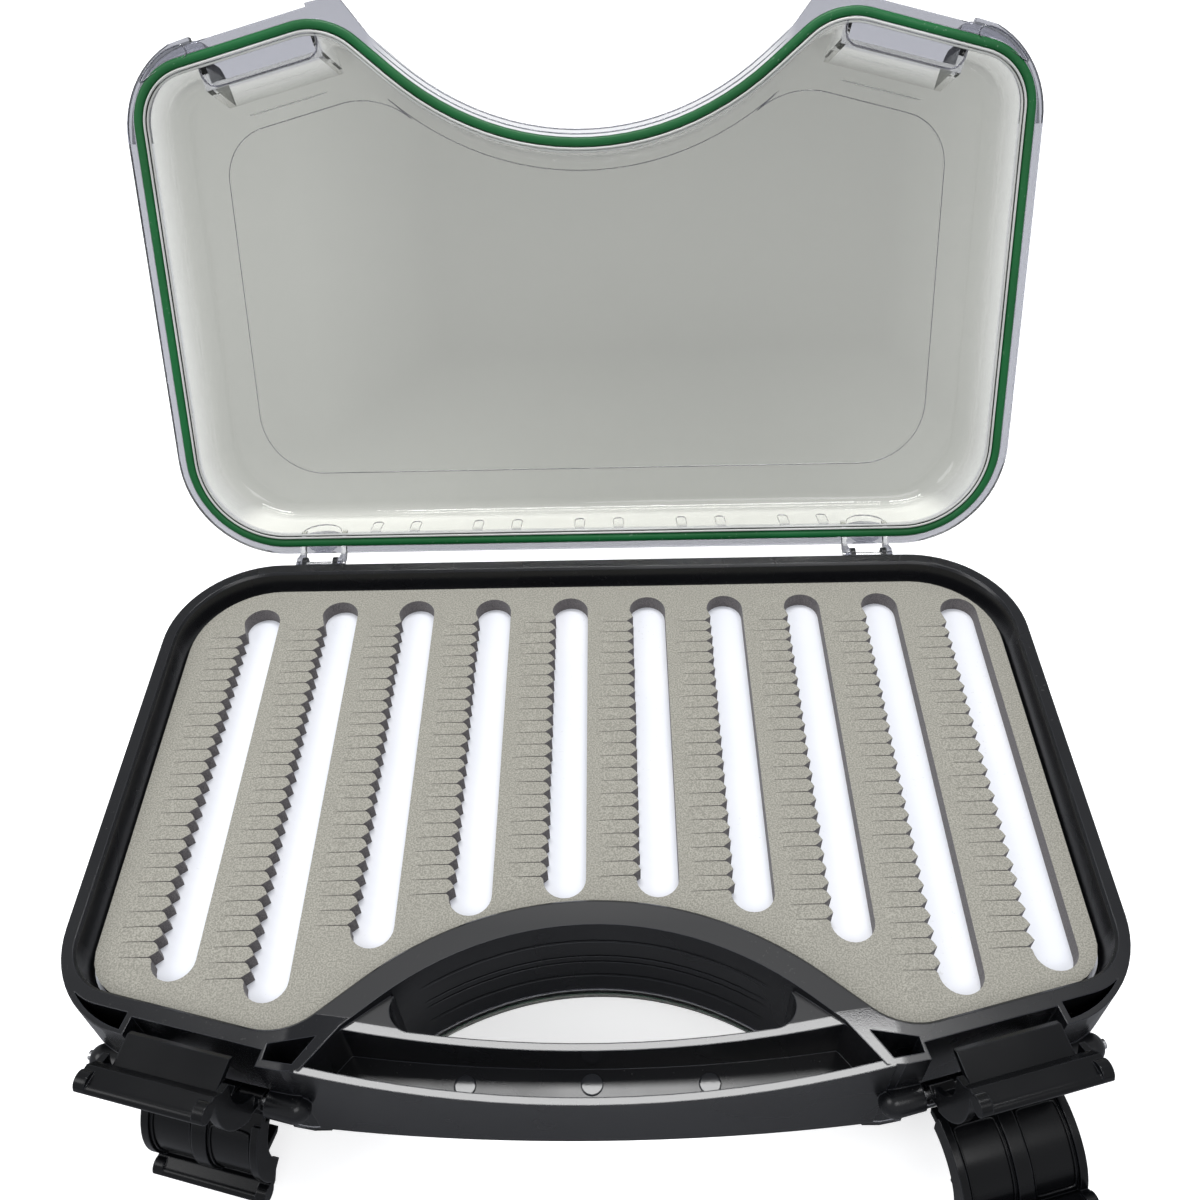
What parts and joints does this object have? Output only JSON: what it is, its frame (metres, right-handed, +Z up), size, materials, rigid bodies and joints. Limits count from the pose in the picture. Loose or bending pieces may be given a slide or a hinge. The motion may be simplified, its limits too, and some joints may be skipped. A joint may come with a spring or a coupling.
{
  "type": "fly box",
  "caption": "Double-sided waterproof fly box with a carrying handle: slit foam trays under clear hinged lids, sealed by a cord and held by hooked levers.",
  "frame": {"origin": "middle of the lower lid's outer face, on which the box lies", "axes": "+Z up through both trays, +X along the hinges, -Y towards the handle"},
  "size_m": [0.33, 0.3567, 0.2548],
  "materials": {
    "black_plastic": "black moulded plastic, satin with glossy edges",
    "lever_plastic": "black moulded nylon, satin",
    "grey_foam": "closed-cell foam with a fine speckle",
    "white_board": "smooth white foam board",
    "clear_plastic": "clear polycarbonate, polished",
    "green_rubber": "green silicone cord, satin",
    "steel_pin": "drawn stainless steel"
  },
  "bodies": {
    "frame": {"frame": "black_plastic", "foam_top": "grey_foam", "foam_bottom": "grey_foam", "backing_top": "white_board", "backing_bottom": "white_board", "left_latch_pin": "steel_pin", "right_latch_pin": "steel_pin", "left_top_hinge_pin": "steel_pin", "right_top_hinge_pin": "steel_pin", "left_bottom_hinge_pin": "steel_pin", "right_bottom_hinge_pin": "steel_pin"},
    "top_lid": {"top_lid": "clear_plastic", "top_gasket": "green_rubber"},
    "bottom_lid": {"bottom_lid": "clear_plastic", "bottom_gasket": "green_rubber"},
    "left_top_lever": {"left_top_lever": "lever_plastic"},
    "left_bottom_lever": {"left_bottom_lever": "lever_plastic"},
    "right_top_lever": {"right_top_lever": "lever_plastic"},
    "right_bottom_lever": {"right_bottom_lever": "lever_plastic"}
  },
  "joints": [
    {"name": "top_lid_hinge", "type": "hinge", "parent": "frame", "child": "top_lid", "pos_m": [0, 0.1032, 0.0708], "axis": [1, 0, 0], "range_deg": [0, 116]},
    {"name": "bottom_lid_hinge", "type": "hinge", "parent": "frame", "child": "bottom_lid", "pos_m": [0, 0.1032, 0.0312], "axis": [1, 0, 0], "range_deg": [0, 116]},
    {"name": "left_top_lever_pivot", "type": "hinge", "parent": "frame", "child": "left_top_lever", "pos_m": [-0.1175, -0.0988, 0.051], "axis": [0.9701, -0.2426, 0], "range_deg": [-10, 45]},
    {"name": "left_bottom_lever_pivot", "type": "hinge", "parent": "frame", "child": "left_bottom_lever", "pos_m": [-0.1175, -0.0988, 0.051], "axis": [-0.9701, 0.2426, 0], "range_deg": [-10, 45]},
    {"name": "right_top_lever_pivot", "type": "hinge", "parent": "frame", "child": "right_top_lever", "pos_m": [0.1175, -0.0988, 0.051], "axis": [0.9701, 0.2426, 0], "range_deg": [-10, 45]},
    {"name": "right_bottom_lever_pivot", "type": "hinge", "parent": "frame", "child": "right_bottom_lever", "pos_m": [0.1175, -0.0988, 0.051], "axis": [-0.9701, -0.2426, 0], "range_deg": [-55, 0]}
  ]
}
